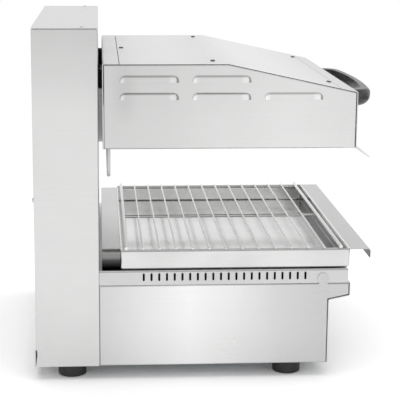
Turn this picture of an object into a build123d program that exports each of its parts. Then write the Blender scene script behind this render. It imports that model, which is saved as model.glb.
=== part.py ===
from build123d import *
from math import atan, degrees, hypot
import os

# A rise-and-fall cheese melter: a steel column at the back carries a heated hood on two arms,
# over a wire grate and a crumb pan on a low base. Millimetres. X is the width, the front faces
# -Y, +Z is up, and the floor is z = 0.

# ---------------------------------------------------------------- driving sizes
SHEET = 1.2               # casing sheet
BEND = 2.4                # outside radius of a pressed bend
FLANGE = 13.0             # width of an inward flange
PLATE = 3.0               # arms, carriage and brackets
SEAT = 0.3                # gap between neighbours that rest or slide on each other
RUNNING = 0.05            # radial clearance of a turning fit
SEAM = 0.4                # gap between a folded cover and the flanges under it

WIDTH = 450.0             # column and base
HEIGHT = 500.0            # floor to the top of the cap
FOOT_HEIGHT = 20.0
FOOT_RADIUS = 20.0
FOOT_INSET = 30.0         # foot centre in from the side
FOOT_REAR = 50.2          # rear foot centre, from the back
FOOT_FRONT = 55.1         # front foot centre, back from the control panel
FOOT_SPIGOT = 8.0
FOOT_ROUND = 2.5
FLOOR_SLOT = 60.0         # cooling slots of the base floor
FLOOR_SLOT_WIDTH = 5.0
FLOOR_SLOT_PITCH = 30.0
FLOOR_SLOT_ROWS = (-60.0, 40.0)
FLOOR_SLOT_COUNT = 7

SCREW_HEAD = 2.8          # height of a pan head on the back
SCREW_RADIUS = 3.6
COVER_HEAD = 1.6          # height of the heads on the hood
CAP_HEAD = 0.9            # height and radius of the heads on the cap
CAP_HEAD_RADIUS = 2.6
CAP_HEAD_INSET = 6.5      # from the side and from the back of the column
CAP_HEAD_SETBACK = 68.3
BACK_HEAD_INSET = 10.0    # middle heads on the back, in from the side
BACK_HEAD_X = 75.0        # the other two pairs, in from the side
BACK_HEAD_DROP = 30.0     # upper pair below the top
BACK_HEAD_RISE = 145.0    # lower pair above the underside
COLUMN_DEPTH = 90.0
BACK_SHEET = 1.5
BACK_REVEAL = 0.5         # the back panel is this much narrower on each side
HEM_HEIGHT = 26.0
HEM_STEP = 2.0            # the hem at the foot of the back panel stands out
CAP_SHEET = 1.5
CAP_LIP = 8.0
BACK_SLOT = 60.0          # cooling slots of the back, in two blocks
BACK_SLOT_HEIGHT = 5.0
BACK_SLOT_PITCH = 12.0
BACK_SLOT_ROWS = 5
BACK_SLOT_X = 80.0
BACK_VENT_END = 95.0      # middle of a block from the end of the column

HOOD_GAP = 5.7            # column front to the back of the hood
HOOD_DEPTH = 353.3
HOOD_WIDTH = 440.0
HOOD_BOTTOM = 332.0
HOOD_REAR_HEIGHT = 118.5
HOOD_FRONT_HEIGHT = 79.0
HOOD_FLAT = 173.8         # level part of the roof, from the back
REAR_STRIP = 22.9
FRONT_STRIP = 24.4
ROOF_SEAM = 0.6
LIP_REACH = 18.7
LIP_DROP = 12.4

LOUVRE_LENGTH = 81.0
LOUVRE_HEIGHT = 9.5
LOUVRE_DEPTH = 4.6
LOUVRE_CORNER = 7.5       # upper corners of a louvre, seen from the side
LOUVRE_EDGE = 3.4         # rounding from the louvre's face back to the sheet
LOUVRE_PITCH = 99.7
LOUVRE_START = 23.8       # from the back of the hood
LOUVRE_ROWS = ((92.4, 2), (68.6, 3))   # height of the mouth above the hood's edge, and how many

HANDLE_LENGTH = 284.0
HANDLE_TOP = 71.0         # above the hood's edge
HANDLE_HEIGHT = 25.0
HANDLE_REACH = 45.8
HANDLE_END_REACH = 36.0
HANDLE_GRIP = 12.0
HANDLE_FOOT = 22.0
HANDLE_CORNER = 30.0
HANDLE_UPPER_ROUND = 6.0
HANDLE_LOWER_ROUND = 15.0
HANDLE_INNER_CORNER = 16.0
HANDLE_NUT = 4.0          # radius and height of the nuts, and how far they sit off the grip's middle
HANDLE_NUT_HEIGHT = 3.2
HANDLE_NUT_STEP = 6.5
REAR_SCREW_SETBACK = 29.7 # cover screws: back of the hood to the middle one
BEND_SCREW_X = 187.0      # the pair behind the fold
BEND_SCREW_SETBACK = 19.9
SLOPE_SCREW_X = 168.0     # the pair on the slope, from the front of the hood
SLOPE_SCREW_SETBACK = 32.0

BASE_DEPTH = 325.8        # column front to the control panel
BASE_TOP = 138.0
VISOR_REACH = 30.0
VISOR_FACE = 18.4
VISOR_RISE = 6.3          # slope of the visor's underside
TAB_RADIUS = 8.4
TAB_NECK = 12.7
TAB_HEIGHT = 6.9          # centre of the round tab above the base
TAB_SETBACK = 9.1         # centre of the round tab behind the control panel

VENT_HEIGHT = 17.8
VENT_SETBACK = 3.2        # front of the vent strip behind the visor's nose
VENT_INSET = 1.5
VENT_COUNT = 22
VENT_PITCH = 10.9
VENT_SLOT_WIDTH = 3.1
VENT_SLOT_HEIGHT = 11.3
VENT_SLOT_RISE = 1.6      # slots above the middle of the strip
VENT_START = 62.3         # first slot, from the column
SHELF_INSET = 6.0

PAN_WIDTH = 442.0
PAN_SHEET = 1.0
PAN_HEIGHT = 26.9
PAN_GAP = 3.4             # vent strip to the underside of the pan
PAN_REAR_GAP = 30.0       # column front to the pan
PAN_OVERHANG = 28.9       # front wall of the pan beyond the control panel
PAN_FLANGE = 29.1
PAN_LIP = 13.5
PAN_CORNER = 3.2
PAN_HEM = 6.5
RUNNER_WIDTH = 12.0
RUNNER_INSET = 32.0

LEDGE_GAP = 3.7
LEDGE_ROLL = 14.0
LEDGE_FLANGE = 30.0       # turned-in foot of the ledge, with its rolled end

WIRE_COUNT = 14
WIRE_SPAN = 304.0         # first wire to last
WIRE_SETBACK = 8.0        # pan's back wall to the first wire
WIRE_END_GAP = 2.0        # ends of the wires inside the pan's rims
WIRE_RADIUS = 1.4
EDGE_WIRE_RADIUS = 2.5
BAR_RADIUS = 2.5
END_BAR_RADIUS = 2.0
END_BAR_GAP = 5.0

HOOD_DOWN = 90.0          # travel of the hood below and above its stored height
HOOD_UP = 30.0
STOP_PAD = 7.0            # rubber pads at the ends of the rails
ARM_X = 155.0
ARM_HEIGHT = 103.0
ARM_FLANGE = 22.0
ARM_REACH = 34.2          # back of the hood to the carriage
ARM_SLOT_SIDE = 4.0       # clearance each side of an arm
ARM_SLOT_END = 5.0
ROLLER_RADIUS = 12.0
ROLLER_WIDTH = 8.0
ROLLER_PIN = 4.0
ROLLER_SHOULDER = 6.5
ROLLER_LOW = 20.0         # roller centres above the arm's lower edge
ROLLER_HIGH = 86.0
RAIL_WALL = 2.0
CARRIAGE_HEIGHT = 80.0
CARRIAGE_SILL = 13.0      # carriage above the arm's lower edge
CARRIAGE_WINDOW = 0.55    # middle of its window, as a share of its height
ROLLER_ROUND = 1.0

STRUT_X = 62.0
STRUT_RADIUS = 9.0
STRUT_BORE = 7.5
STRUT_ROD = 4.0
STRUT_LENGTH = 160.0
STRUT_FOOT = 60.0
STRUT_END = 10.0          # solid ends of the cylinder
PISTON_HEIGHT = 8.0
PISTON_ROOM = 6.0         # left under the piston at the lowest hood
STRUT_BRACKET = 26.0
STRUT_OFFSET = 25.0       # behind the carriage beam

REFLECTOR_HEIGHT = 40.0
REFLECTOR_INSET = 16.0
REFLECTOR_CORNER = 8.0
BLANKET_HEIGHT = 25.0
ELEMENT_RADIUS = 4.0
ELEMENT_PITCH = 44.0
ELEMENT_LEGS = 4
ELEMENT_FIRST = 28.0      # first leg from the middle of the hood
ELEMENT_BELOW = 20.0      # legs below the reflector's roof
ELEMENT_MARGIN = 16.0
ELEMENT_RISE_BEND = 14.0
BEAD_RADIUS = 6.0
BEAD_HEIGHT = 10.0

SENSOR_ROD = 2.5
SENSOR_X = 202.0
SENSOR_DROP = 44.0        # bottom of the sensor bar below the hood's edge
SENSOR_PIVOT = 9.0        # pivot above the hood's edge
SENSOR_BEND = 12.0
SENSOR_PIVOT_BEND = 4.0
SENSOR_TAIL = 13.0        # length of the turned-in ends
SENSOR_EAR = 10.0         # ears inside the bar, and their width
EAR_SHEET = 2.0
EAR_RISE = 6.0            # ear above the pivot
SWITCH_LENGTH = 26.0
SWITCH_DEPTH = 9.0
SWITCH_HEIGHT = 14.0
SWITCH_GAP = 2.0
SENSOR_SETBACK = 8.3      # from the back of the hood
SENSOR_ROOM = 1.5         # clearance of the bar in the reflector's slots
SUPPORT_SHEET = 1.5       # strips that carry the elements
SUPPORT_EDGE = 2.0
BEAD_PIN = 1.6
BEAD_PIN_REACH = 8.0

KNOB_X = 75.0
KNOB_HEIGHT = 47.0        # above the underside of the base
KNOB_RADIUS = 22.0
KNOB_SKIRT = 25.0
KNOB_REACH = 25.0
KNOB_SKIRT_HEIGHT = 5.0
KNOB_EDGE = 2.0           # chamfers of the skirt and the top
KNOB_TAPER = 2.5          # the grip narrows by this much
KNOB_FLUTES = 12
FLUTE_RADIUS = 2.6
POINTER_WIDTH = 2.0
POINTER_DEPTH = 0.8
POINTER_START = 6.0
SPINDLE_RADIUS = 3.0
SPINDLE_CAP = 8.0         # solid plastic over the end of the spindle
SPINDLE_DEPTH = 13.0      # spindle inside the regulator
SPINDLE_ROOM = 0.5
REGULATOR_WIDTH = 40.0
REGULATOR_DEPTH = 34.0
REGULATOR_HEIGHT = 44.0
DIAL_RADIUS = 33.0
DIAL_SHEET = 0.6
LAMP_X = 16.0
LAMP_RADIUS = 5.0
LAMP_HEIGHT = 70.0
LAMP_DEPTH = 22.0
LAMP_ROOM = 0.1
LENS_RIM = 1.2            # the lens is wider than the lamp by this much
LENS_REACH = 3.0
LENS_ROUND = 2.0

GLAND_X = 150.0
GLAND_HEIGHT = 45.0
GLAND_RADIUS = 10.0
GLAND_BORE = 4.5
GLAND_FLANGE = 13.0
GLAND_PLATE = 2.4
GLAND_ROUND = 1.2
GLAND_INSIDE = 10.0
TERMINAL_WIDTH = 60.0
TERMINAL_DEPTH = 22.0
TERMINAL_HEIGHT = 18.0
TERMINAL_WAYS = 5
TERMINAL_PITCH = 12.0
TERMINAL_POCKET = 8.0     # width of a pocket, and height of its floor
TERMINAL_POCKET_DEPTH = 6.0

# ---------------------------------------------------------------- planes worked out from them
HALF = WIDTH / 2
HOOD_HALF = HOOD_WIDTH / 2
PAN_HALF = PAN_WIDTH / 2
TOTAL_DEPTH = SCREW_HEAD + COLUMN_DEPTH + HOOD_GAP + HOOD_DEPTH + HANDLE_REACH

BACK = TOTAL_DEPTH / 2 - SCREW_HEAD
COLUMN_REAR = BACK - BACK_SHEET
COLUMN_FRONT = BACK - COLUMN_DEPTH
COLUMN_TOP = HEIGHT - CAP_SHEET
HOOD_REAR = COLUMN_FRONT - HOOD_GAP
HOOD_FRONT = HOOD_REAR - HOOD_DEPTH
HOOD_TOP = HOOD_BOTTOM + HOOD_REAR_HEIGHT
HOOD_BROW = HOOD_BOTTOM + HOOD_FRONT_HEIGHT
HOOD_FOLD = HOOD_REAR - HOOD_FLAT
ROOF_FALL = (HOOD_TOP - HOOD_BROW) / (HOOD_FOLD - HOOD_FRONT)
PANEL_FRONT = COLUMN_FRONT - BASE_DEPTH
VISOR_NOSE = PANEL_FRONT - VISOR_REACH
DECK_TOP = BASE_TOP + SHEET
VENT_TOP = DECK_TOP + VENT_HEIGHT
VENT_FRONT = VISOR_NOSE + VENT_SETBACK
SHELF_TOP = VENT_TOP + SHEET
PAN_BOTTOM = VENT_TOP + PAN_GAP
PAN_TOP = PAN_BOTTOM + PAN_HEIGHT
PAN_REAR = COLUMN_FRONT - PAN_REAR_GAP
PAN_FRONT = PANEL_FRONT - PAN_OVERHANG
WIRE_REAR = PAN_REAR - WIRE_SETBACK
WIRE_PITCH = WIRE_SPAN / (WIRE_COUNT - 1)
FLOOR_TOP = FOOT_HEIGHT + 2 * SHEET
REFLECTOR_TOP = HOOD_BOTTOM + SHEET + REFLECTOR_HEIGHT
ELEMENT_Z = REFLECTOR_TOP - ELEMENT_BELOW
ROLLER_Y = COLUMN_FRONT + SHEET + RAIL_WALL + SEAT + ROLLER_RADIUS
CARRIAGE_Y = HOOD_REAR + ARM_REACH
STRUT_Y = CARRIAGE_Y + PLATE + STRUT_OFFSET
STRUT_BASE = FLOOR_TOP + STRUT_FOOT
PIVOT_Y = HOOD_REAR - SENSOR_SETBACK
PIVOT_Z = HOOD_BOTTOM + SENSOR_PIVOT


# ---------------------------------------------------------------- shaping helpers
def block(x0, x1, y0, y1, z0, z1):
    """A box between two corners."""
    return Pos((x0 + x1) / 2, (y0 + y1) / 2, (z0 + z1) / 2) * Box(x1 - x0, y1 - y0, z1 - z0)


def rod(radius, start, end):
    """A round bar from one point to another."""
    axis = Vector(*end) - Vector(*start)
    return extrude(Plane(origin=start, z_dir=axis) * Circle(radius), axis.length)


def across(outline, x0, x1):
    """Carry a closed (y, z) outline along X."""
    return extrude(Plane.YZ.offset(x0) * outline, x1 - x0)


def group(solids):
    """Several separate solids of one kind."""
    return Compound(list(solids))


def both_sides(solid):
    """The solid and its mirror image across the middle of the machine."""
    return [solid, mirror(solid, Plane.YZ)]


def side_pair(name, right):
    """Write a right-hand piece and its mirrored left-hand partner."""
    save(name + "_right", right)
    save(name + "_left", mirror(right, Plane.YZ))


def folded_strip(points, thickness=SHEET, bend=BEND):
    """The section of a folded sheet. The sheet lies to the left of the line through the points."""
    ways = [(Vector(*b) - Vector(*a)).normalized() for a, b in zip(points, points[1:])]
    sides = [Vector(-way.Y, way.X) for way in ways]
    offset = [Vector(*points[0]) + sides[0] * thickness]
    line_radii, offset_radii = [], []
    for point, before, after, way, onward in zip(points[1:-1], sides, sides[1:], ways, ways[1:]):
        mitre = (before + after) * (thickness / (1 + before.dot(after)))
        offset.append(Vector(*point) + mitre)
        turns_left = way.X * onward.Y - way.Y * onward.X > 0
        line_radii.append(bend if turns_left else bend - thickness)
        offset_radii.append(bend - thickness if turns_left else bend)
    offset.append(Vector(*points[-1]) + sides[-1] * thickness)
    line = FilletPolyline(*points, radius=line_radii)
    inner = FilletPolyline(*offset, radius=offset_radii)
    ends = [Line(line @ 0, inner @ 0), Line(line @ 1, inner @ 1)]
    return make_face([*line.edges(), *inner.edges(), *ends])


def tray(outline, x_outer, depth, thickness=SHEET, bend=BEND):
    """A right-hand side panel: a skin at x_outer with a flange turned in all round its edge."""
    skin = across(outline, x_outer - depth, x_outer)
    rim = skin.faces().sort_by(Axis.X)[-1].edges()
    skin = fillet(rim, bend)
    inside = offset(outline, amount=-thickness, kind=Kind.INTERSECTION)
    return skin - across(inside, x_outer - depth - 1, x_outer - thickness)


def screw_head(height=COVER_HEAD, radius=SCREW_RADIUS):
    """A domed screw head standing on z = 0."""
    dome = fillet(Cylinder(radius, height).edges().sort_by(Axis.Z)[-1], height * 0.6)
    return Pos(0, 0, height / 2) * dome


def save(name, shape):
    """Write one piece."""
    export_step(shape, f"parts/{name}.step")


# ---------------------------------------------------------------- column
def column_wrapper():
    """Front and sides of the column in one folded sheet, with the two slots for the arms."""
    shell = block(-HALF, HALF, COLUMN_FRONT, COLUMN_REAR, FOOT_HEIGHT, COLUMN_TOP)
    front_corners = shell.edges().filter_by(Axis.Z).sort_by(Axis.Y)[:2]
    top_rim = shell.faces().sort_by(Axis.Z)[-1].edges().sort_by(Axis.Y)[:3]
    shell = fillet(front_corners + top_rim, BEND)
    shell -= block(-HALF + SHEET, HALF - SHEET, COLUMN_FRONT + SHEET, COLUMN_REAR + 1,
                   FOOT_HEIGHT + SHEET, COLUMN_TOP - SHEET)
    shell -= block(-HALF + FLANGE, HALF - FLANGE, COLUMN_FRONT + FLANGE, COLUMN_REAR - FLANGE,
                   FOOT_HEIGHT - 1, COLUMN_TOP + 1)
    slot_low = HOOD_BOTTOM - HOOD_DOWN - ARM_SLOT_END
    slot_high = HOOD_BOTTOM + ARM_HEIGHT + HOOD_UP + ARM_SLOT_END
    slot_width = PLATE + 2 * ARM_SLOT_SIDE
    slot = SlotOverall(slot_high - slot_low, slot_width, rotation=90)
    cutter = extrude(Plane.XZ * Pos(ARM_X, (slot_low + slot_high) / 2) * slot, SHEET * 4, both=True)
    for arm_slot in both_sides(Pos(0, COLUMN_FRONT, 0) * cutter):
        shell -= arm_slot
    window = block(-ARM_X, ARM_X, COLUMN_FRONT - 1, COLUMN_FRONT + SHEET + 1,
                   FLOOR_TOP + FLANGE, BASE_TOP - FLANGE)
    return shell - window


def back_vents():
    """Cooling slots of the back panel: two blocks of level slots, one low and one high."""
    slot = SlotOverall(BACK_SLOT, BACK_SLOT_HEIGHT)
    cutters = []
    for height in (FOOT_HEIGHT + BACK_VENT_END, HEIGHT - BACK_VENT_END):
        for x in (-BACK_SLOT_X, 0.0, BACK_SLOT_X):
            for row in range(BACK_SLOT_ROWS):
                rise = (row - (BACK_SLOT_ROWS - 1) / 2) * BACK_SLOT_PITCH
                place = Plane.XZ.offset(-BACK - 1) * Pos(x, height + rise)
                cutters.append(extrude(place * slot, BACK_SHEET + 2))
    return cutters


def column_back_panel():
    """Flat back with a stepped hem, cooling slots and the hole for the cable gland."""
    hem_top = FOOT_HEIGHT + HEM_HEIGHT
    section = [(COLUMN_REAR + HEM_STEP, FOOT_HEIGHT), (BACK + HEM_STEP, FOOT_HEIGHT),
               (BACK + HEM_STEP, hem_top - HEM_STEP), (BACK, hem_top), (BACK, COLUMN_TOP - SEAT),
               (COLUMN_REAR, COLUMN_TOP - SEAT), (COLUMN_REAR, hem_top - SHEET),
               (COLUMN_REAR + HEM_STEP, hem_top - SHEET - HEM_STEP)]
    half = HALF - BACK_REVEAL
    panel = across(make_face(Polyline(*section, close=True)), -half, half)
    for cutter in back_vents():
        panel -= cutter
    hole = (GLAND_X, BACK + 5, FOOT_HEIGHT + GLAND_HEIGHT)
    return panel - rod(GLAND_RADIUS + SEAT / 2, hole, (GLAND_X, COLUMN_REAR - 5, hole[2]))


def column_top_cap():
    """Lid of the column, with a lip that drops into the top opening."""
    plate = block(-HALF, HALF, COLUMN_FRONT, BACK, COLUMN_TOP, HEIGHT)
    plate = fillet(plate.edges().filter_by(Axis.Z), BEND)
    reach = FLANGE + SEAT
    lip = block(-HALF + reach, HALF - reach, COLUMN_FRONT + reach, COLUMN_REAR - reach,
                COLUMN_TOP - CAP_LIP, COLUMN_TOP)
    reach += SHEET
    lip -= block(-HALF + reach, HALF - reach, COLUMN_FRONT + reach, COLUMN_REAR - reach,
                 COLUMN_TOP - CAP_LIP - 1, COLUMN_TOP)
    return plate + lip


def column_floor():
    """Plate on the column's bottom flanges. It carries the struts, the terminals and two feet."""
    return block(-HALF + SHEET + SEAT, HALF - SHEET - SEAT, COLUMN_FRONT + SHEET + SEAT,
                 COLUMN_REAR - SEAT, FOOT_HEIGHT + SHEET, FLOOR_TOP)


def arm_span():
    """Lowest and highest roller edges over the whole travel."""
    low = HOOD_BOTTOM + ROLLER_LOW - ROLLER_RADIUS - HOOD_DOWN
    high = HOOD_BOTTOM + ROLLER_HIGH + ROLLER_RADIUS + HOOD_UP
    return low, high


def rail_x():
    """Inner and outer edge of the right-hand rail."""
    inner = ARM_X + PLATE / 2 + SEAT
    web = ARM_X + PLATE / 2 + 2 * SEAT + ROLLER_WIDTH + 2 * SEAT + SHEET
    return inner, web + RAIL_WALL


def guide_rail():
    """Channel on the column's front wall in which the two rollers of one arm run."""
    low, high = arm_span()
    low -= SEAT + STOP_PAD + RAIL_WALL
    high += SEAT + STOP_PAD + RAIL_WALL
    inner, outer = rail_x()
    front = COLUMN_FRONT + SHEET
    rear = ROLLER_Y + ROLLER_RADIUS + SEAT + RAIL_WALL
    channel = block(inner, outer, front, rear, low, high)
    return channel - block(inner - 1, outer - RAIL_WALL, front + RAIL_WALL, rear - RAIL_WALL,
                           low + RAIL_WALL, high - RAIL_WALL)


def stop_pads():
    """Rubber pads at both ends of the rails."""
    low, high = arm_span()
    inner, outer = rail_x()
    x = (inner + outer - RAIL_WALL) / 2
    radius = (outer - RAIL_WALL - inner) / 2 - SEAT
    lower = rod(radius, (x, ROLLER_Y, low - SEAT - STOP_PAD), (x, ROLLER_Y, low - SEAT))
    upper = rod(radius, (x, ROLLER_Y, high + SEAT), (x, ROLLER_Y, high + SEAT + STOP_PAD))
    return group(both_sides(lower) + both_sides(upper))


def strut_cylinder():
    """Barrel of a gas strut, with a closed foot and a guide for the rod."""
    foot = (STRUT_X, STRUT_Y, STRUT_BASE)
    head = (STRUT_X, STRUT_Y, STRUT_BASE + STRUT_LENGTH)
    barrel = rod(STRUT_RADIUS, foot, head)
    barrel -= rod(STRUT_BORE, (STRUT_X, STRUT_Y, STRUT_BASE + STRUT_END),
                  (STRUT_X, STRUT_Y, head[2] - STRUT_END))
    return barrel - rod(STRUT_ROD + RUNNING, (STRUT_X, STRUT_Y, STRUT_BASE + STRUT_END),
                        (STRUT_X, STRUT_Y, head[2] + 1))


def strut_bracket():
    """Bent stand under a gas strut, screwed to the column's floor."""
    half = STRUT_BRACKET / 2
    inner = half - SHEET * 1.5
    stand = block(STRUT_X - half, STRUT_X + half, STRUT_Y - half, STRUT_Y + half, FLOOR_TOP, STRUT_BASE)
    return stand - block(STRUT_X - inner, STRUT_X + inner, STRUT_Y - half - 1, STRUT_Y + half + 1,
                         FLOOR_TOP - 1, STRUT_BASE - PLATE)


def cable_gland():
    """Snap-in bush of the supply lead, seen on the back as a low collar."""
    z = FOOT_HEIGHT + GLAND_HEIGHT
    outside = BACK + GLAND_PLATE
    inside = COLUMN_REAR - GLAND_INSIDE
    bush = rod(GLAND_FLANGE, (GLAND_X, BACK, z), (GLAND_X, outside, z))
    bush = fillet(bush.edges().sort_by(Axis.Y)[-1], GLAND_ROUND)
    bush += rod(GLAND_RADIUS, (GLAND_X, inside, z), (GLAND_X, BACK, z))
    return bush - rod(GLAND_BORE, (GLAND_X, inside - 1, z), (GLAND_X, outside + 1, z))


def terminal_block():
    """Block where the supply lead is connected, on the column's floor beside the gland."""
    front = (COLUMN_FRONT + BACK - TERMINAL_DEPTH) / 2
    half = TERMINAL_WIDTH / 2
    body = block(GLAND_X - half, GLAND_X + half, front, front + TERMINAL_DEPTH,
                 FLOOR_TOP, FLOOR_TOP + TERMINAL_HEIGHT)
    reach = TERMINAL_POCKET / 2
    for index in range(TERMINAL_WAYS):
        x = GLAND_X + (index - (TERMINAL_WAYS - 1) / 2) * TERMINAL_PITCH
        body -= block(x - reach, x + reach, front - 1, front + TERMINAL_POCKET_DEPTH,
                      FLOOR_TOP + TERMINAL_POCKET, FLOOR_TOP + TERMINAL_HEIGHT + 1)
    return body


def casing_screws():
    """Pan heads on the back panel and a low head at each end of the cap."""
    cap_head = screw_head(CAP_HEAD, CAP_HEAD_RADIUS)
    heads = both_sides(Pos(HALF - CAP_HEAD_INSET, BACK - CAP_HEAD_SETBACK, HEIGHT) * cap_head)
    middle = (HEIGHT + FOOT_HEIGHT) / 2
    places = ((BACK_HEAD_INSET, middle), (BACK_HEAD_X, HEIGHT - BACK_HEAD_DROP),
              (BACK_HEAD_X, FOOT_HEIGHT + BACK_HEAD_RISE))
    for inset, z in places:
        head = Pos(HALF - inset, BACK, z) * Rot(-90, 0, 0) * screw_head(SCREW_HEAD)
        heads += both_sides(head)
    return group(heads)


# ---------------------------------------------------------------- base
def base_outline(inset):
    """Side view of the base with its visor, drawn in by the inset at the front and under the visor."""
    rise = VISOR_RISE / VISOR_REACH
    front = PANEL_FRONT + inset
    nose = VISOR_NOSE + inset
    under = BASE_TOP - VISOR_FACE + inset * hypot(1, rise)
    return [(COLUMN_FRONT, FOOT_HEIGHT), (front, FOOT_HEIGHT), (front, under - rise * (front - VISOR_NOSE)),
            (nose, under - rise * (nose - VISOR_NOSE)), (nose, BASE_TOP), (COLUMN_FRONT, BASE_TOP)]


def base_side():
    """Right-hand side of the base, flanged all round, with the round tab over the vent strip."""
    panel = tray(make_face(Polyline(*base_outline(SHEET + SEAM), close=True)), HALF, FLANGE)
    tab_y = PANEL_FRONT + TAB_SETBACK
    tab = across(Pos(tab_y, BASE_TOP + TAB_HEIGHT) * Circle(TAB_RADIUS), HALF - SHEET, HALF)
    neck = block(HALF - SHEET, HALF, tab_y - TAB_NECK / 2, tab_y + TAB_NECK / 2,
                 BASE_TOP - BEND - 1, BASE_TOP + TAB_HEIGHT)
    return panel + tab + neck


def control_panel():
    """Front of the base and visor, folded from one sheet across the whole width."""
    foot, crease, nose, nose_top = base_outline(0)[1:5]
    section = folded_strip([nose_top, nose, crease, foot])
    panel = across(section, -HALF, HALF)
    z = FOOT_HEIGHT + KNOB_HEIGHT
    back = PANEL_FRONT + SHEET + 1
    for x in (-KNOB_X, KNOB_X):
        panel -= rod(SPINDLE_RADIUS + SPINDLE_ROOM, (x, PANEL_FRONT - 1, z), (x, back, z))
    for x in (-LAMP_X, LAMP_X):
        z = FOOT_HEIGHT + LAMP_HEIGHT
        panel -= rod(LAMP_RADIUS + LAMP_ROOM, (x, PANEL_FRONT - 1, z), (x, back, z))
    inner = HALF - FLANGE - SEAT
    return panel + block(-inner, inner, nose_top[0], nose_top[0] + FLANGE, BASE_TOP - SHEET, BASE_TOP)


def base_floor():
    """Bottom plate on the side panels' flanges, slotted for cooling air. It carries two feet."""
    front = PANEL_FRONT + 2 * SHEET + SEAM + SEAT
    plate = block(-HALF + SHEET + SEAT, HALF - SHEET - SEAT, front, COLUMN_FRONT - SHEET,
                  FOOT_HEIGHT + SHEET, FLOOR_TOP)
    slot = SlotOverall(FLOOR_SLOT, FLOOR_SLOT_WIDTH, rotation=90)
    for index in range(FLOOR_SLOT_COUNT):
        x = (index - (FLOOR_SLOT_COUNT - 1) / 2) * FLOOR_SLOT_PITCH
        for y in FLOOR_SLOT_ROWS:
            plate -= Pos(x, y, FOOT_HEIGHT) * extrude(slot, FOOT_HEIGHT)
    return plate


def deck_plate():
    """Top of the base, under the vent strips."""
    edge = VENT_INSET + SHEET
    return block(-HALF + edge, HALF - edge, VISOR_NOSE + SHEET, COLUMN_FRONT, BASE_TOP, DECK_TOP)


def vent_side():
    """Right-hand vent strip: a channel with a row of rounded upright slots in its web."""
    outer = HALF - VENT_INSET
    strip = block(outer - FLANGE, outer, VENT_FRONT, COLUMN_FRONT, DECK_TOP, VENT_TOP)
    strip -= block(outer - FLANGE - 1, outer - SHEET, VENT_FRONT - 1, COLUMN_FRONT + 1,
                   DECK_TOP + SHEET, VENT_TOP - SHEET)
    slot = SlotOverall(VENT_SLOT_HEIGHT, VENT_SLOT_WIDTH, rotation=90)
    middle = DECK_TOP + VENT_HEIGHT / 2 + VENT_SLOT_RISE
    for index in range(VENT_COUNT):
        y = COLUMN_FRONT - VENT_START - index * VENT_PITCH
        strip -= across(Pos(y, middle) * slot, outer - SHEET - 1, outer + 1)
    return strip


def vent_front():
    """Plain strip that closes the front between the deck and the shelf."""
    edge = HALF - VENT_INSET - SHEET
    strip = block(-edge, edge, VENT_FRONT, VENT_FRONT + FLANGE, DECK_TOP + SHEET, VENT_TOP - SHEET)
    return strip - block(-edge - 1, edge + 1, VENT_FRONT + SHEET, VENT_FRONT + FLANGE + 1,
                         DECK_TOP + 2 * SHEET, VENT_TOP - 2 * SHEET)


def pan_shelf():
    """Plate on the vent strips, over which the pan slides."""
    edge = HALF - SHELF_INSET
    return block(-edge, edge, VENT_FRONT + SHEET, COLUMN_FRONT, VENT_TOP, SHELF_TOP)


def pan_runners():
    """Two slide strips on the shelf."""
    x = PAN_HALF - RUNNER_INSET
    runner = block(x - RUNNER_WIDTH / 2, x + RUNNER_WIDTH / 2, PAN_FRONT + RUNNER_WIDTH, PAN_REAR,
                   SHELF_TOP, PAN_BOTTOM - SEAT)
    return group(both_sides(fillet(runner.edges().filter_by(Axis.Z), RUNNER_WIDTH / 2 - 1)))


def rear_ledge():
    """Bridge between the column and the pan, with its ends rolled down to the shelf."""
    rear = COLUMN_FRONT - LEDGE_GAP
    front = PAN_REAR + SEAT
    bridge = block(-PAN_HALF, PAN_HALF, front, rear, SHELF_TOP, PAN_TOP)
    bridge = fillet(bridge.edges().filter_by(Axis.Y), LEDGE_ROLL)
    inner = PAN_HALF - SHEET
    hollow = block(-inner, inner, front - 1, rear + 1, SHELF_TOP + SHEET, PAN_TOP - SHEET)
    hollow = fillet(hollow.edges().filter_by(Axis.Y), LEDGE_ROLL - SHEET)
    opening = block(-PAN_HALF + LEDGE_FLANGE, PAN_HALF - LEDGE_FLANGE, front - 1, rear + 1,
                    SHELF_TOP - 1, SHELF_TOP + SHEET + 1)
    return bridge - hollow - opening


def feet():
    """Four moulded feet, each with a spigot through to the floor plate."""
    x = HALF - FOOT_INSET
    solids = []
    for y in (BACK - FOOT_REAR, PANEL_FRONT + FOOT_FRONT):
        pad = Pos(x, y, FOOT_HEIGHT / 2) * Cylinder(FOOT_RADIUS, FOOT_HEIGHT)
        pad = fillet(pad.edges().sort_by(Axis.Z)[0], FOOT_ROUND)
        spigot = rod(FOOT_SPIGOT, (x, y, FOOT_HEIGHT - 1), (x, y, FOOT_HEIGHT + SHEET))
        solids += both_sides(pad + spigot)
    return group(solids)


# ---------------------------------------------------------------- controls
def regulator():
    """Energy regulator behind the control panel, with a bore for its spindle."""
    front = PANEL_FRONT + SHEET
    z = FOOT_HEIGHT + KNOB_HEIGHT
    half, rise = REGULATOR_WIDTH / 2, REGULATOR_HEIGHT / 2
    body = block(KNOB_X - half, KNOB_X + half, front, front + REGULATOR_DEPTH, z - rise, z + rise)
    bore_end = front + SPINDLE_DEPTH + SEAT
    return body - rod(SPINDLE_RADIUS + RUNNING, (KNOB_X, front - 1, z), (KNOB_X, bore_end, z))


def spindle():
    """Steel spindle from the regulator into the knob."""
    z = FOOT_HEIGHT + KNOB_HEIGHT
    return rod(SPINDLE_RADIUS, (KNOB_X, PANEL_FRONT - KNOB_REACH + SPINDLE_CAP, z),
               (KNOB_X, PANEL_FRONT + SHEET + SPINDLE_DEPTH, z))


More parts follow.
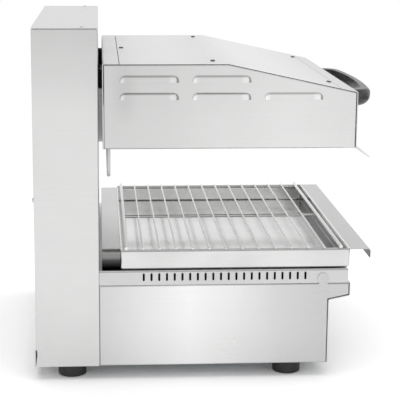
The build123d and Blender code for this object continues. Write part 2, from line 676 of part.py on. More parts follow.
def knob():
    """Moulded knob: a skirt and a fluted, slightly tapered grip with a pointer groove."""
    height = KNOB_REACH - DIAL_SHEET - SEAT
    top = KNOB_RADIUS - KNOB_TAPER
    shoulder = KNOB_SKIRT_HEIGHT - KNOB_EDGE
    profile = [(0, 0), (KNOB_SKIRT, 0), (KNOB_SKIRT, shoulder), (KNOB_SKIRT - KNOB_EDGE, KNOB_SKIRT_HEIGHT),
               (KNOB_RADIUS, KNOB_SKIRT_HEIGHT), (top, height - KNOB_EDGE), (top - KNOB_EDGE, height),
               (0, height)]
    body = revolve(make_face(Plane.XZ * Polyline(*profile, close=True)), Axis.Z)
    flute = rod(FLUTE_RADIUS, (KNOB_RADIUS, 0, KNOB_SKIRT_HEIGHT), (KNOB_RADIUS, 0, height + 1))
    for index in range(KNOB_FLUTES):
        body -= Rot(0, 0, (index + 0.5) * 360 / KNOB_FLUTES) * flute
    reach = POINTER_WIDTH / 2
    body -= block(-reach, reach, POINTER_START, KNOB_RADIUS, height - POINTER_DEPTH, height + 1)
    body -= rod(SPINDLE_RADIUS, (0, 0, -1), (0, 0, KNOB_REACH - SPINDLE_CAP - DIAL_SHEET - SEAT))
    z = FOOT_HEIGHT + KNOB_HEIGHT
    return Pos(KNOB_X, PANEL_FRONT - DIAL_SHEET - SEAT, z) * Rot(90, 0, 0) * body


def dial_ring():
    """Thin printed ring on the panel behind a knob."""
    z = FOOT_HEIGHT + KNOB_HEIGHT
    ring = rod(DIAL_RADIUS, (KNOB_X, PANEL_FRONT - DIAL_SHEET, z), (KNOB_X, PANEL_FRONT, z))
    hole = rod(SPINDLE_RADIUS + SPINDLE_ROOM, (KNOB_X, PANEL_FRONT - 5, z), (KNOB_X, PANEL_FRONT + 5, z))
    return ring - hole


def pilot_lamp():
    """Body of a pilot lamp, pushed through the panel from behind."""
    z = FOOT_HEIGHT + LAMP_HEIGHT
    return rod(LAMP_RADIUS, (LAMP_X, PANEL_FRONT, z), (LAMP_X, PANEL_FRONT + LAMP_DEPTH, z))


def lamp_lens():
    """Domed lens and its collar on the front of a pilot lamp."""
    z = FOOT_HEIGHT + LAMP_HEIGHT
    lens = rod(LAMP_RADIUS + LENS_RIM, (LAMP_X, PANEL_FRONT - LENS_REACH, z), (LAMP_X, PANEL_FRONT, z))
    return fillet(lens.edges().sort_by(Axis.Y)[0], LENS_ROUND)


# ---------------------------------------------------------------- hood casing
def roof(y):
    """Height of the hood's outer roof at a depth."""
    return HOOD_TOP if y > HOOD_FOLD else HOOD_TOP - (HOOD_FOLD - y) * ROOF_FALL


def hood_outline(inset):
    """Side view of the hood, drawn in by the inset at the back, roof and front."""
    rear = HOOD_REAR - inset
    front = HOOD_FRONT + inset
    steep = hypot(1, ROOF_FALL)
    fold = HOOD_FOLD + inset * (steep - 1) / ROOF_FALL
    return [(rear, HOOD_BOTTOM), (rear, HOOD_TOP - inset), (fold, HOOD_TOP - inset),
            (front, roof(front) - inset * steep), (front, HOOD_BOTTOM)]


def louvre(start, mouth):
    """Skin and hollow of one pressed louvre, rounded at the top and ends and open below."""
    def pressing(inset, root):
        length = LOUVRE_LENGTH - 2 * inset
        height = LOUVRE_HEIGHT - inset
        face = HOOD_HALF + LOUVRE_DEPTH - inset
        body = block(root, face, start - inset - length, start - inset, mouth, mouth + height)
        upper = body.edges().filter_by(Axis.X).sort_by(Axis.Z)[-2:]
        body = fillet(upper, LOUVRE_CORNER - inset)
        front = body.faces().sort_by(Axis.X)[-1].edges().sort_by(Axis.Z)[1:]
        return fillet(front, LOUVRE_EDGE - inset)

    return pressing(0, HOOD_HALF - SHEET), pressing(SHEET, HOOD_HALF - SHEET * 2)


def hood_side():
    """Right-hand side of the hood, flanged all round, with two rows of pressed louvres."""
    panel = tray(make_face(Polyline(*hood_outline(SHEET + SEAM), close=True)), HOOD_HALF, FLANGE)
    for mouth, count in LOUVRE_ROWS:
        for index in range(count):
            start = HOOD_REAR - LOUVRE_START - index * LOUVRE_PITCH
            skin, hollow = louvre(start, HOOD_BOTTOM + mouth)
            panel = panel + skin - hollow
    return panel


def hood_top_cover():
    """Roof of the hood: a level part and a slope, folded once."""
    rear = HOOD_REAR - REAR_STRIP - ROOF_SEAM
    front = HOOD_FRONT + FRONT_STRIP + ROOF_SEAM
    section = folded_strip([(rear, HOOD_TOP), (HOOD_FOLD, HOOD_TOP), (front, roof(front))], SHEET, BEND)
    return across(section, -HOOD_HALF, HOOD_HALF)


def hood_rear_channel():
    """Back wall of the hood with the strip turned forward along the roof."""
    strip_front = HOOD_REAR - REAR_STRIP
    section = folded_strip([(HOOD_REAR, HOOD_BOTTOM), (HOOD_REAR, HOOD_TOP), (strip_front, HOOD_TOP)])
    return across(section, -HOOD_HALF, HOOD_HALF)


def hood_front_panel():
    """Front of the hood with the strip turned back along the roof and the lip turned out below."""
    strip_rear = HOOD_FRONT + FRONT_STRIP
    lip = (HOOD_FRONT - LIP_REACH, HOOD_BOTTOM - LIP_DROP)
    section = folded_strip([(strip_rear, roof(strip_rear)), (HOOD_FRONT, roof(HOOD_FRONT)),
                            (HOOD_FRONT, HOOD_BOTTOM), lip])
    return across(section, -HOOD_HALF, HOOD_HALF)


def bow_handle():
    """Moulded bow handle: a rounded grip on two legs against the hood's front."""
    half = HANDLE_LENGTH / 2
    tip = HOOD_FRONT - HANDLE_END_REACH
    nose = HOOD_FRONT - HANDLE_REACH
    outer = make_face([Line((-half, HOOD_FRONT), (-half, tip)),
                       ThreePointArc((-half, tip), (0, nose), (half, tip)),
                       Line((half, tip), (half, HOOD_FRONT)),
                       Line((half, HOOD_FRONT), (-half, HOOD_FRONT))])
    inner_half = half - HANDLE_FOOT
    inner_tip = tip + HANDLE_GRIP
    inner = make_face([Line((-inner_half, HOOD_FRONT + 1), (-inner_half, inner_tip)),
                       ThreePointArc((-inner_half, inner_tip), (0, nose + HANDLE_GRIP),
                                     (inner_half, inner_tip)),
                       Line((inner_half, inner_tip), (inner_half, HOOD_FRONT + 1)),
                       Line((inner_half, HOOD_FRONT + 1), (-inner_half, HOOD_FRONT + 1))])
    top = HOOD_BOTTOM + HANDLE_TOP
    bow = Pos(0, 0, top - HANDLE_HEIGHT) * extrude(outer, HANDLE_HEIGHT)
    corners = bow.edges().filter_by(Axis.Z).sort_by(Axis.Y)[:2]
    bow = fillet(corners, HANDLE_CORNER)
    upper = bow.faces().sort_by(Axis.Z)[-1].edges().sort_by(Axis.Y)[:-1]
    bow = fillet(upper, HANDLE_UPPER_ROUND)
    lower = bow.faces().sort_by(Axis.Z)[0].edges().sort_by(Axis.Y)[:-1]
    bow = fillet(lower, HANDLE_LOWER_ROUND)
    hole = Pos(0, 0, top - HANDLE_HEIGHT - 1) * extrude(inner, HANDLE_HEIGHT + 2)
    hole = fillet(hole.edges().filter_by(Axis.Z).sort_by(Axis.Y)[:2], HANDLE_INNER_CORNER)
    return bow - hole


def handle_nuts():
    """Nuts behind the hood's front, two for each leg of the handle."""
    solids = []
    x = HANDLE_LENGTH / 2 - HANDLE_FOOT / 2
    for step in (-HANDLE_NUT_STEP, HANDLE_NUT_STEP):
        z = HOOD_BOTTOM + HANDLE_TOP - HANDLE_HEIGHT / 2 + step
        y = HOOD_FRONT + SHEET
        nut = extrude(Plane.XZ.offset(-y) * Pos(x, z) * RegularPolygon(HANDLE_NUT, 6), -HANDLE_NUT_HEIGHT)
        solids += both_sides(nut)
    return solids


def hood_screws():
    """Low heads on the roof, one at the back and two pairs near the sides, and the handle's nuts."""
    heads = handle_nuts() + [Pos(0, HOOD_REAR - REAR_SCREW_SETBACK, HOOD_TOP) * screw_head()]
    heads += both_sides(Pos(BEND_SCREW_X, HOOD_FOLD + BEND_SCREW_SETBACK, HOOD_TOP) * screw_head())
    y = HOOD_FRONT + SLOPE_SCREW_SETBACK
    tilt = Rot(degrees(atan(ROOF_FALL)), 0, 0)
    heads += both_sides(Pos(SLOPE_SCREW_X, y, roof(y)) * tilt * screw_head())
    return group(heads)


# ---------------------------------------------------------------- heating
def element_points():
    """Route of the right-hand heating element, from one terminal to the other."""
    rear = HOOD_REAR - REFLECTOR_INSET - ELEMENT_MARGIN
    front = HOOD_FRONT + REFLECTOR_INSET + ELEMENT_MARGIN
    top = REFLECTOR_TOP + BLANKET_HEIGHT
    points = [(ELEMENT_FIRST, rear, top)]
    for leg in range(ELEMENT_LEGS):
        x = ELEMENT_FIRST + leg * ELEMENT_PITCH
        ends = (rear, front) if leg % 2 == 0 else (front, rear)
        points += [(x, ends[0], ELEMENT_Z), (x, ends[1], ELEMENT_Z)]
    points.append((ELEMENT_FIRST + (ELEMENT_LEGS - 1) * ELEMENT_PITCH, rear, top))
    return points


def heating_element():
    """One tubular element bent into parallel legs, its ends turned up through the reflector."""
    points = element_points()
    turn = ELEMENT_PITCH / 2 - 0.5
    radii = [ELEMENT_RISE_BEND] + [turn] * (len(points) - 4) + [ELEMENT_RISE_BEND]
    path = FilletPolyline(*points, radius=radii)
    section = Plane(origin=path @ 0, z_dir=path % 0) * Circle(ELEMENT_RADIUS)
    return sweep(section, path=path)


def element_ends():
    """Places of the upright ends of the right-hand element."""
    points = element_points()
    return [points[0][:2], points[-1][:2]]


def reflector():
    """Polished liner of the hood: an upturned pan on a frame that rests on the side flanges."""
    half = HOOD_HALF - REFLECTOR_INSET
    rear = HOOD_REAR - REFLECTOR_INSET
    front = HOOD_FRONT + REFLECTOR_INSET
    rim = HOOD_BOTTOM + SHEET
    pan = block(-half, half, front, rear, rim, REFLECTOR_TOP)
    pan = fillet(pan.edges().filter_by(Axis.Z) + pan.faces().sort_by(Axis.Z)[-1].edges(), REFLECTOR_CORNER)
    edge = SHEET + SEAT
    margin = 2 * SHEET + SEAM + SEAT
    frame = block(-HOOD_HALF + edge, HOOD_HALF - edge, HOOD_FRONT + margin, HOOD_REAR - margin,
                  rim, rim + PAN_SHEET)
    hollow = block(-half + PAN_SHEET, half - PAN_SHEET, front + PAN_SHEET, rear - PAN_SHEET,
                   rim - 1, REFLECTOR_TOP - PAN_SHEET)
    inner_rim = hollow.edges().filter_by(Axis.Z) + hollow.faces().sort_by(Axis.Z)[-1].edges()
    liner = pan + frame - fillet(inner_rim, REFLECTOR_CORNER - PAN_SHEET)
    for x, y in element_ends():
        for hole in both_sides(rod(ELEMENT_RADIUS + SEAT, (x, y, ELEMENT_Z), (x, y, REFLECTOR_TOP + 1))):
            liner -= hole
    reach = SENSOR_ROD + SENSOR_ROOM
    slot = block(SENSOR_X - reach, SENSOR_X + reach, PIVOT_Y - reach, HOOD_REAR,
                 rim - 1, rim + PAN_SHEET + 1)
    for opening in both_sides(slot):
        liner -= opening
    return liner


def insulation_blanket():
    """Fibre slab on the reflector, pierced by the element ends."""
    inset = REFLECTOR_INSET + REFLECTOR_CORNER
    slab = block(-HOOD_HALF + inset, HOOD_HALF - inset, HOOD_FRONT + inset, HOOD_REAR - inset,
                 REFLECTOR_TOP, REFLECTOR_TOP + BLANKET_HEIGHT)
    for x, y in element_ends():
        for hole in both_sides(rod(ELEMENT_RADIUS + SEAT, (x, y, ELEMENT_Z), (x, y, HOOD_TOP))):
            slab -= hole
    return slab


def element_supports():
    """Three pierced strips that hang the elements from the reflector."""
    rear = HOOD_REAR - REFLECTOR_INSET
    depth = HOOD_DEPTH - 2 * REFLECTOR_INSET
    half = HOOD_HALF - REFLECTOR_INSET - REFLECTOR_CORNER
    strips = []
    for share in (0.25, 0.5, 0.75):
        y = rear - depth * share
        strip = block(-half, half, y - SUPPORT_SHEET / 2, y + SUPPORT_SHEET / 2,
                      ELEMENT_Z - ELEMENT_RADIUS - SUPPORT_EDGE, REFLECTOR_TOP - PAN_SHEET)
        for leg in range(ELEMENT_LEGS):
            x = ELEMENT_FIRST + leg * ELEMENT_PITCH
            hole = rod(ELEMENT_RADIUS + SEAT, (x, y - 2, ELEMENT_Z), (x, y + 2, ELEMENT_Z))
            for bore in both_sides(hole):
                strip -= bore
        strips.append(strip)
    return group(strips)


def element_terminals():
    """Ceramic beads with threaded pins on the four element ends."""
    solids = []
    base = REFLECTOR_TOP + BLANKET_HEIGHT
    for x, y in element_ends():
        bead = rod(BEAD_RADIUS, (x, y, base), (x, y, base + BEAD_HEIGHT))
        pin = rod(BEAD_PIN, (x, y, base + BEAD_HEIGHT - 1), (x, y, base + BEAD_HEIGHT + BEAD_PIN_REACH))
        solids += both_sides(bead + pin)
    return group(solids)


# ---------------------------------------------------------------- lift
def lift_arm():
    """Right-hand arm: a plate on edge with a flange on the hood and one on the carriage."""
    inner = ARM_X - PLATE / 2
    outer = ARM_X + PLATE / 2
    top = HOOD_BOTTOM + ARM_HEIGHT
    plate = block(inner, outer, HOOD_REAR, CARRIAGE_Y, HOOD_BOTTOM, top)
    hood_flange = block(outer - ARM_FLANGE, outer, HOOD_REAR, HOOD_REAR + PLATE, HOOD_BOTTOM, top)
    rear_flange = block(outer - ARM_FLANGE, outer, CARRIAGE_Y - PLATE, CARRIAGE_Y, HOOD_BOTTOM, top)
    return plate + hood_flange + rear_flange


def carriage_beam():
    """Cross beam that joins the arms inside the column, with a shelf for the strut rods."""
    half = ARM_X + PLATE / 2
    low = HOOD_BOTTOM + CARRIAGE_SILL
    beam = block(-half, half, CARRIAGE_Y, CARRIAGE_Y + PLATE, low, low + CARRIAGE_HEIGHT)
    shelf = block(-half, half, CARRIAGE_Y, STRUT_Y + STRUT_RADIUS, low, low + PLATE)
    window = SlotOverall(half, CARRIAGE_HEIGHT / 3)
    place = Plane.XZ.offset(-CARRIAGE_Y - PLATE - 1) * Pos(0, low + CARRIAGE_HEIGHT * CARRIAGE_WINDOW)
    return beam + shelf - extrude(place * window, PLATE + 2)


def roller_places():
    """Names and heights of the two rollers of an arm."""
    return (("lower", HOOD_BOTTOM + ROLLER_LOW), ("upper", HOOD_BOTTOM + ROLLER_HIGH))


def roller_faces():
    """Inner and outer face of the right-hand rollers."""
    inner = ARM_X + PLATE / 2 + 2 * SEAT
    return inner, inner + ROLLER_WIDTH


def roller_pins():
    """Shouldered pins on the arms, with a collar that keeps each roller on."""
    inner, outer = roller_faces()
    start = ARM_X + PLATE / 2
    solids = []
    for _, z in roller_places():
        shoulder = rod(ROLLER_SHOULDER, (start, ROLLER_Y, z), (inner - SEAT, ROLLER_Y, z))
        pin = rod(ROLLER_PIN, (start, ROLLER_Y, z), (outer + SEAT, ROLLER_Y, z))
        collar = rod(ROLLER_SHOULDER, (outer + SEAT, ROLLER_Y, z), (outer + SEAT + SHEET, ROLLER_Y, z))
        solids += both_sides(shoulder + pin + collar)
    return group(solids)


def guide_roller(z):
    """Right-hand roller with rounded shoulders and a running bore."""
    inner, outer = roller_faces()
    wheel = rod(ROLLER_RADIUS, (inner, ROLLER_Y, z), (outer, ROLLER_Y, z))
    wheel = fillet(wheel.edges().filter_by(GeomType.CIRCLE), ROLLER_ROUND)
    return wheel - rod(ROLLER_PIN + RUNNING, (inner - 1, ROLLER_Y, z), (outer + 1, ROLLER_Y, z))


def strut_rods():
    """Piston rods of the two gas struts, under the carriage shelf."""
    top = HOOD_BOTTOM + CARRIAGE_SILL
    piston = STRUT_BASE + STRUT_END + PISTON_ROOM + HOOD_DOWN
    shaft = rod(STRUT_ROD, (STRUT_X, STRUT_Y, piston), (STRUT_X, STRUT_Y, top))
    head = rod(STRUT_BORE - SEAT, (STRUT_X, STRUT_Y, piston), (STRUT_X, STRUT_Y, piston + PISTON_HEIGHT))
    return group(both_sides(shaft + head))


# ---------------------------------------------------------------- plate sensor
def sensor_bar():
    """Bent rod behind the plates, hung from two in-turned ends that form its pivot."""
    low = HOOD_BOTTOM - SENSOR_DROP + SENSOR_ROD
    tail = SENSOR_X - SENSOR_TAIL
    points = [(tail, PIVOT_Y, PIVOT_Z), (SENSOR_X, PIVOT_Y, PIVOT_Z), (SENSOR_X, PIVOT_Y, low),
              (-SENSOR_X, PIVOT_Y, low), (-SENSOR_X, PIVOT_Y, PIVOT_Z), (-tail, PIVOT_Y, PIVOT_Z)]
    path = FilletPolyline(*points, radius=[SENSOR_PIVOT_BEND, SENSOR_BEND, SENSOR_BEND, SENSOR_PIVOT_BEND])
    section = Plane(origin=path @ 0, z_dir=path % 0) * Circle(SENSOR_ROD)
    return sweep(section, path=path)


def sensor_brackets():
    """Ears on the reflector frame that carry the ends of the sensor bar."""
    floor = HOOD_BOTTOM + SHEET + PAN_SHEET
    x = SENSOR_X - SENSOR_EAR
    half = SENSOR_EAR / 2
    ear = block(x - EAR_SHEET / 2, x + EAR_SHEET / 2, PIVOT_Y - half, PIVOT_Y + half,
                floor, PIVOT_Z + EAR_RISE)
    ear -= rod(SENSOR_ROD + RUNNING, (x - EAR_SHEET, PIVOT_Y, PIVOT_Z), (x + EAR_SHEET, PIVOT_Y, PIVOT_Z))
    return group(both_sides(ear))


def sensor_switch():
    """Small switch beside the right-hand end of the sensor bar."""
    floor = HOOD_BOTTOM + SHEET + PAN_SHEET
    x = SENSOR_X - SENSOR_TAIL - SWITCH_GAP
    half = SWITCH_DEPTH / 2
    return block(x - SWITCH_LENGTH, x, PIVOT_Y - half, PIVOT_Y + half, floor, floor + SWITCH_HEIGHT)


# ---------------------------------------------------------------- pan and grate
def crumb_pan():
    """Drawn pan with hemmed rims and a front flange that ends in a lip to pull it by."""
    pan = block(-PAN_HALF, PAN_HALF, PAN_FRONT, PAN_REAR, PAN_BOTTOM, PAN_TOP)
    bottom = pan.faces().sort_by(Axis.Z)[0].edges()
    pan = fillet(pan.edges().filter_by(Axis.Z) + bottom, PAN_CORNER)
    wall = PAN_SHEET
    hollow = block(-PAN_HALF + wall, PAN_HALF - wall, PAN_FRONT + wall, PAN_REAR - wall,
                   PAN_BOTTOM + wall, PAN_TOP + 1)
    inner = hollow.faces().sort_by(Axis.Z)[0].edges()
    hollow = fillet(hollow.edges().filter_by(Axis.Z) + inner, PAN_CORNER - wall)
    shell = pan - hollow
    hem = block(-PAN_HALF + wall / 2, PAN_HALF - wall / 2, PAN_FRONT + wall / 2, PAN_REAR - wall / 2,
                PAN_TOP - PAN_HEM, PAN_TOP)
    hem = fillet(hem.edges().filter_by(Axis.Z), PAN_CORNER - wall / 2)
    opening = block(-PAN_HALF + 2 * wall, PAN_HALF - 2 * wall, PAN_FRONT + 2 * wall, PAN_REAR - 2 * wall,
                    PAN_TOP - PAN_HEM - 1, PAN_TOP + 1)
    opening = fillet(opening.edges().filter_by(Axis.Z), PAN_CORNER - 2 * wall)
    section = folded_strip([(PAN_FRONT - PAN_FLANGE, PAN_TOP - PAN_LIP), (PAN_FRONT - PAN_FLANGE, PAN_TOP),
                            (PAN_FRONT + wall, PAN_TOP)][::-1], wall)
    flange = across(section, -PAN_HALF, PAN_HALF)
    corner_fill = block(-PAN_HALF, PAN_HALF, PAN_FRONT, PAN_FRONT + PAN_CORNER, PAN_TOP - wall, PAN_TOP)
    return shell + (hem - opening) + flange + (corner_fill - opening)


def grate_wires():
    """Round wires across the width, thicker at the front and back, resting on the pan's rims."""
    reach = PAN_HALF - WIRE_END_GAP
    wires = []
    for index in range(WIRE_COUNT):
        radius = EDGE_WIRE_RADIUS if index in (0, WIRE_COUNT - 1) else WIRE_RADIUS
        y = WIRE_REAR - index * WIRE_PITCH
        z = PAN_TOP + RUNNING + radius
        wires.append(rod(radius, (-reach, y, z), (reach, y, z)))
    return group(wires)


def grate_bars():
    """Bars under the wires: one in the middle and one just inside each rim."""
    front = WIRE_REAR - WIRE_SPAN
    middle_z = PAN_TOP - BAR_RADIUS
    bars = [rod(BAR_RADIUS, (0, front, middle_z), (0, WIRE_REAR, middle_z))]
    x = PAN_HALF - 2 * PAN_SHEET - END_BAR_GAP
    end_z = PAN_TOP - END_BAR_RADIUS
    bars += both_sides(rod(END_BAR_RADIUS, (x, front, end_z), (x, WIRE_REAR, end_z)))
    return group(bars)


# ---------------------------------------------------------------- write every piece
def main():
    os.makedirs("parts", exist_ok=True)
    save("column_wrapper", column_wrapper())
    save("column_back_panel", column_back_panel())
    save("column_top_cap", column_top_cap())
    save("column_floor", column_floor())
    side_pair("guide_rail", guide_rail())
    save("stop_pads", stop_pads())
    save("strut_cylinders", group(both_sides(strut_cylinder())))
    save("strut_brackets", group(both_sides(strut_bracket())))
    save("cable_gland", cable_gland())
    save("terminal_block", terminal_block())
    save("casing_screws", casing_screws())

    side_pair("base_side", base_side())
    save("control_panel", control_panel())
    save("base_floor", base_floor())
    save("deck_plate", deck_plate())
    side_pair("vent_strip", vent_side())
    save("vent_strip_front", vent_front())
    save("pan_shelf", pan_shelf())
    save("pan_runners", pan_runners())
    save("rear_ledge", rear_ledge())
    save("feet", feet())

    save("energy_regulators", group(both_sides(regulator())))
    side_pair("spindle", spindle())
    side_pair("knob", knob())
    save("dial_rings", group(both_sides(dial_ring())))
    save("pilot_lamps", group(both_sides(pilot_lamp())))
    save("lamp_lenses", group(both_sides(lamp_lens())))

    side_pair("hood_side", hood_side())
    save("hood_top_cover", hood_top_cover())
    save("hood_rear_channel", hood_rear_channel())
    save("hood_front_panel", hood_front_panel())
    save("bow_handle", bow_handle())
    save("hood_screws", hood_screws())
    save("reflector", reflector())
    save("insulation_blanket", insulation_blanket())
    side_pair("heating_element", heating_element())
    save("element_supports", element_supports())
    save("element_terminals", element_terminals())

    side_pair("lift_arm", lift_arm())
    save("carriage_beam", carriage_beam())
    save("roller_pins", roller_pins())
    for name, z in roller_places():
        side_pair(f"guide_roller_{name}", guide_roller(z))
    save("strut_rods", strut_rods())
    save("sensor_bar", sensor_bar())
    save("sensor_brackets", sensor_brackets())
    save("sensor_switch", sensor_switch())

    save("crumb_pan", crumb_pan())
    save("grate_wires", grate_wires())
    save("grate_bars", grate_bars())


main()
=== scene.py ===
import math

import bpy
import numpy as np
from mathutils import Matrix, Vector


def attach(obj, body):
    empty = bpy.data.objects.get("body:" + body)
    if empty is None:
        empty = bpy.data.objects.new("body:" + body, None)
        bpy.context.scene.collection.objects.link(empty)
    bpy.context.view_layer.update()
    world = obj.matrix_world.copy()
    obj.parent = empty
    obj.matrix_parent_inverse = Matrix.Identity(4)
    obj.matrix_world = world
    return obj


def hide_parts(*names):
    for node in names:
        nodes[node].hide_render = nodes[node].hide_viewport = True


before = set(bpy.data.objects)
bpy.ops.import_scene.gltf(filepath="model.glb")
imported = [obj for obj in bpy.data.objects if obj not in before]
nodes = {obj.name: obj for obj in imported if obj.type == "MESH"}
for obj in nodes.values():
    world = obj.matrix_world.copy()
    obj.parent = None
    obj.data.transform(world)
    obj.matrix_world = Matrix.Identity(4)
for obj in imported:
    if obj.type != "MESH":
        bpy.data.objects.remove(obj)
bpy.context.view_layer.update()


# ---------------------------------------------------------------- column casing
# The column is bent from 1.2 mm stainless sheet with a satin brushed face. The grain runs
# level on the sides and across the lid, as the coil was ground before it was cut.
class Value:
    """A value that varies over a surface. Arithmetic on it adds Math nodes to its material."""

    def __init__(self, tree, socket=None):
        self.tree, self.socket = tree, socket

    def node(self, kind, settings=None, inputs=None, output=0):
        """Any node: its settings go in first, then the numbers or links of its sockets."""
        made = self.tree.nodes.new(kind)
        for name, value in (settings or {}).items():
            if name == "stops":
                ramp = made.color_ramp
                while len(ramp.elements) < len(value):
                    ramp.elements.new(0.5)
                for element, (place, shade) in zip(ramp.elements, value):
                    element.position, element.color = place, (*shade, 1.0)
            else:
                setattr(made, name, value)
        for name, value in (inputs or {}).items():
            if isinstance(value, Value):
                self.tree.links.new(value.socket, made.inputs[name])
            else:
                made.inputs[name].default_value = value
        return Value(self.tree, made.outputs[output] if len(made.outputs) else None)

    def maths(self, operation, a, b):
        return self.node("ShaderNodeMath", {"operation": operation}, {0: a, 1: b})

    def __add__(self, other):
        return self.maths("ADD", self, other)

    def __radd__(self, other):
        return self.maths("ADD", other, self)

    def __sub__(self, other):
        return self.maths("SUBTRACT", self, other)

    def __rsub__(self, other):
        return self.maths("SUBTRACT", other, self)

    def __mul__(self, other):
        return self.maths("MULTIPLY", self, other)

    def __rmul__(self, other):
        return self.maths("MULTIPLY", other, self)

    def __abs__(self):
        return self.maths("ABSOLUTE", self, 0.0)

    def above(self, edge, softness):
        """0 below the edge and 1 above it, changing over the softness."""
        return self.node("ShaderNodeMapRange", {"interpolation_type": "SMOOTHSTEP"},
                         {"Value": self, "From Min": edge - softness, "From Max": edge + softness})

    def stretched(self, size):
        """A point's place, with each axis divided by the size of the pattern along it."""
        return self.node("ShaderNodeVectorMath", {"operation": "MULTIPLY"},
                         {0: self, 1: [1 / s for s in size]})

    def noise(self, size, detail=3.0, seed=0.0):
        """Cloudy noise from 0 to 1, with features of that size in metres along each axis."""
        return self.node("ShaderNodeTexNoise", {"noise_dimensions": "4D"},
                         {"Vector": self.stretched(size), "W": seed, "Scale": 1.0, "Detail": detail})

    def axis(self, letter):
        """One coordinate of a point, in metres."""
        return self.node("ShaderNodeSeparateXYZ", None, {0: self}, "XYZ".index(letter))

    def tinted(self, dark, light):
        """A colour between two colours, as this value goes from 0 to 1."""
        return self.node("ShaderNodeMix", {"data_type": "RGBA"},
                         {"Factor": self, 6: (*dark, 1.0), 7: (*light, 1.0)}, 2)

    def span(self, start, end):
        """0 at the start and 1 at the end, in step with the value between them."""
        return self.node("ShaderNodeMapRange", None, {"Value": self, "From Min": start, "From Max": end})

    def graded(self, *shades):
        """A grey read off evenly spaced shades, as this value goes from 0 to 1."""
        stops = [(index / (len(shades) - 1), (shade, shade, shade)) for index, shade in enumerate(shades)]
        return self.node("ShaderNodeValToRGB", {"stops": stops}, {"Fac": self})

    def near(self, middle, size):
        """1 at a middle point and 0 beyond it, for a point's place, by that size along each axis."""
        offset = self.node("ShaderNodeVectorMath", {"operation": "SUBTRACT"}, {0: self, 1: middle})
        return 1.0 - offset.stretched(size).length().above(0.5, 0.5)

    def length(self):
        """How far a point's place lies from the origin."""
        return self.node("ShaderNodeVectorMath", {"operation": "LENGTH"}, {0: self}, "Value")

    def times(self, other):
        """This colour multiplied by another one."""
        return self.node("ShaderNodeMix", {"data_type": "RGBA", "blend_type": "MULTIPLY"},
                         {"Factor": 1.0, 6: self, 7: other}, 2)

    def shaded(self, colour, other):
        """One colour laid over another, as this value goes from 0 to 1."""
        sides = {"Factor": self}
        for place, side in ((6, colour), (7, other)):
            sides[place] = side if isinstance(side, Value) else (*side, 1.0)
        return self.node("ShaderNodeMix", {"data_type": "RGBA"}, sides, 2)

    def bump(self, depth):
        """The surface's normal, tilted by this value as a height of that depth in metres."""
        return self.node("ShaderNodeBump", None, {"Height": self, "Strength": 1.0, "Distance": depth})


def new_material(name):
    """An empty material, and the place of a surface point in the row frame to build it from."""
    material = bpy.data.materials.new(name)
    material.use_nodes = True
    material.node_tree.nodes.clear()
    start = Value(material.node_tree)
    place = start.node("ShaderNodeTexCoord", None, None, "Object")
    return material, place


def surface(material, place, **inputs):
    """Closes a material with one shader. Underscores in the socket names stand for spaces."""
    sockets = {}
    for name, value in inputs.items():
        if isinstance(value, tuple) and len(value) == 3:
            value = (*value, 1.0)
        sockets[name.replace("_", " ")] = value
    shader = place.node("ShaderNodeBsdfPrincipled", None, sockets)
    place.node("ShaderNodeOutputMaterial", None, {"Surface": shader})
    return material


def finish_in(material, *names):
    """Gives those CAD pieces the material."""
    for name in names:
        for held in nodes[name].material_slots:
            held.material = material


def brushed_sheet(name, shade, along, painted_tone=None, roughness=0.3, grain=0.00035, seed=0.0):
    """Satin stainless: long fine scratches along one axis and faint smears, with a slow change of colour over
    the sheet, worked out from a point's place, that is painted reflection and shade."""
    material, place = new_material(name)
    scratch_length, smear = 0.09, 0.11
    size = [scratch_length if letter == along else grain for letter in "XYZ"]
    scratches = place.noise(size, 4.0, seed)
    coarse = place.noise([3.0 * s for s in size], 2.0, seed + 4.0)
    smears = place.noise((smear, smear, smear), 3.0, seed + 9.0)
    fine = scratches * 0.6 + coarse * 0.4
    tone = fine * 0.5 + smears * 0.5
    dark, light = [c * 0.965 for c in shade], [min(1.0, c * 1.035) for c in shade]
    colour = tone.above(0.5, 0.16).tinted(dark, light)
    # Painted reflection and shade, multiplied into the sheet's colour.
    if painted_tone:
        colour = colour.times(painted_tone(place))
    rough = roughness + (smears - 0.5) * 0.14 + (fine - 0.5) * 0.12
    return surface(material, place, Base_Color=colour, Metallic=1.0, Roughness=rough,
                   Normal=fine.bump(0.000012))




def column_painted_light(place):
    """Painted reflection and shade: palest at the middle of its height, with a painted dark line where the
    sheet turns at each upright edge.
    """
    level = place.axis("Z").span(0.02, 0.5).graded(0.97, 0.99, 1.0, 0.95, 0.79)
    side_face, rear_fold, fold_end, front_fold = 0.2242, 0.2458, 0.2472, 0.1568
    depth = place.axis("Y")
    outside = abs(place.axis("X")).above(side_face, 0.0002)
    rear_fold_shade = depth.above(rear_fold, 0.0003) - depth.above(fold_end, 0.0003)
    front_fold_shade = 1.0 - depth.above(front_fold, 0.0004)
    return level.times(1.0 - outside * (0.45 * rear_fold_shade + 0.3 * front_fold_shade))


column_steel = brushed_sheet("column_steel", (0.78, 0.78, 0.776), "Y", column_painted_light)
lid_steel = brushed_sheet("lid_steel", (0.735, 0.735, 0.731), "X", seed=3.0)
finish_in(column_steel, "column_wrapper", "column_back_panel")
finish_in(lid_steel, "column_top_cap")


